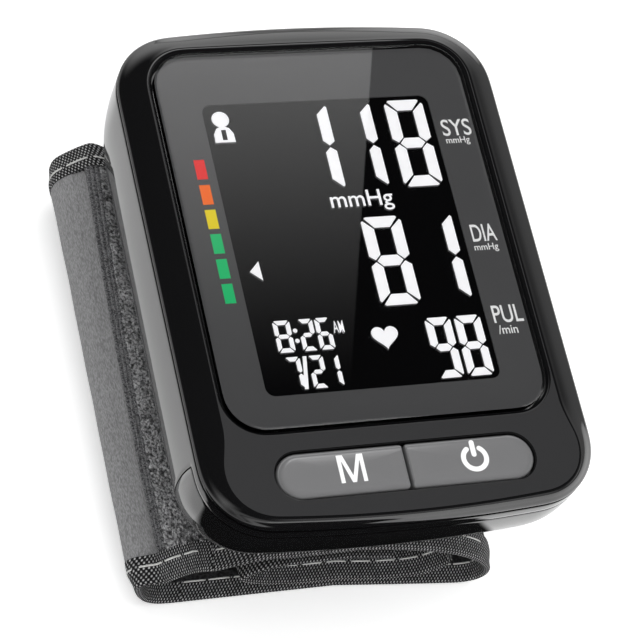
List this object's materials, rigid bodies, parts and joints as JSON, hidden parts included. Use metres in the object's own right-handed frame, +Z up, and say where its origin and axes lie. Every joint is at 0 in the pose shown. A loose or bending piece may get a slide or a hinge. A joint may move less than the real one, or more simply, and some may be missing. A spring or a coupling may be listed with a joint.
{
  "type": "wrist blood pressure monitor",
  "caption": "Wrist blood pressure monitor: rounded black case with a display window and push buttons, lying on a collapsed padded cuff with a peel-open closure tab.",
  "frame": {"origin": "on the table under the middle of the case, on the underside of the cuff's lower run", "axes": "+Z up out of the display, +Y towards the top of the display, +X to the display's right"},
  "size_m": [0.0664, 0.0856, 0.0432],
  "materials": {
    "gloss_black": "glossy moulded black",
    "clear_window": "clear polished sheet",
    "grey_print": "dark grey printed film",
    "lcd_glass": "black display cell",
    "white_plastic": "plain moulded",
    "black_plastic": "plain moulded",
    "conductive_rubber": "layered strip",
    "board": "solder resist",
    "grey_button": "satin moulded grey",
    "cell_jacket": "plain jacket",
    "plated_steel": "plated",
    "silicone": "translucent tube",
    "cuff_cloth": "brushed loop cloth",
    "tab_cloth": "smooth laminated cloth",
    "hook_tape": "hook tape",
    "binding_tape": "woven binding with white stitches",
    "bladder_film": "welded film"
  },
  "bodies": {
    "case": {"front_cover": "gloss_black", "back_cover": "gloss_black", "display_window": "clear_window", "window_mask": "grey_print", "lcd_panel": "lcd_glass", "lcd_frame": "white_plastic", "backlight_guide": "white_plastic", "lcd_contact_strip": "conductive_rubber", "main_board": "board", "controller_chip": "black_plastic", "memory_switch": "black_plastic", "power_switch": "black_plastic", "battery_cradle": "black_plastic", "battery_left": "cell_jacket", "battery_right": "cell_jacket", "battery_spring": "plated_steel", "battery_dimple_contact": "plated_steel", "case_screw_1": "plated_steel", "case_screw_2": "plated_steel", "case_screw_3": "plated_steel", "case_screw_4": "plated_steel", "pump_motor": "plated_steel", "pump_head": "white_plastic", "exhaust_valve": "white_plastic", "air_manifold": "white_plastic", "pressure_sensor": "white_plastic", "pump_hose": "silicone", "valve_hose": "silicone", "sensor_hose": "silicone", "cuff_port_tube": "silicone", "cuff_cover": "cuff_cloth", "cuff_lining": "cuff_cloth", "cuff_stiffener": "white_plastic", "air_bladder": "bladder_film", "loop_patch": "cuff_cloth", "inner_flap": "cuff_cloth", "cuff_binding_lower": "binding_tape", "cuff_binding_upper": "binding_tape", "flap_binding_lower": "binding_tape", "flap_binding_upper": "binding_tape"},
    "memory_button": {"memory_button": "grey_button"},
    "power_button": {"power_button": "grey_button"},
    "battery_door": {"battery_door": "gloss_black", "battery_bridge_contact": "plated_steel"},
    "closure_tab": {"closure_tab": "tab_cloth", "hook_patch": "hook_tape", "tab_binding_lower": "binding_tape", "tab_binding_upper": "binding_tape"}
  },
  "joints": [
    {"name": "memory_press", "type": "slide", "parent": "case", "child": "memory_button", "axis": [0, 0, -1], "range_m": [0, 0.0007], "stiffness_N_per_m": 1500, "springref_m": -0.0003},
    {"name": "power_press", "type": "slide", "parent": "case", "child": "power_button", "axis": [0, 0, -1], "range_m": [0, 0.0007], "stiffness_N_per_m": 1500, "springref_m": -0.0003},
    {"name": "door_slide", "type": "slide", "parent": "case", "child": "battery_door", "axis": [0, -1, 0], "range_m": [0, 0.025]},
    {"name": "tab_peel", "type": "hinge", "parent": "case", "child": "closure_tab", "pos_m": [-0.0279, 0, 0.0183], "axis": [0, 1, 0], "range_deg": [0, 50]}
  ]
}
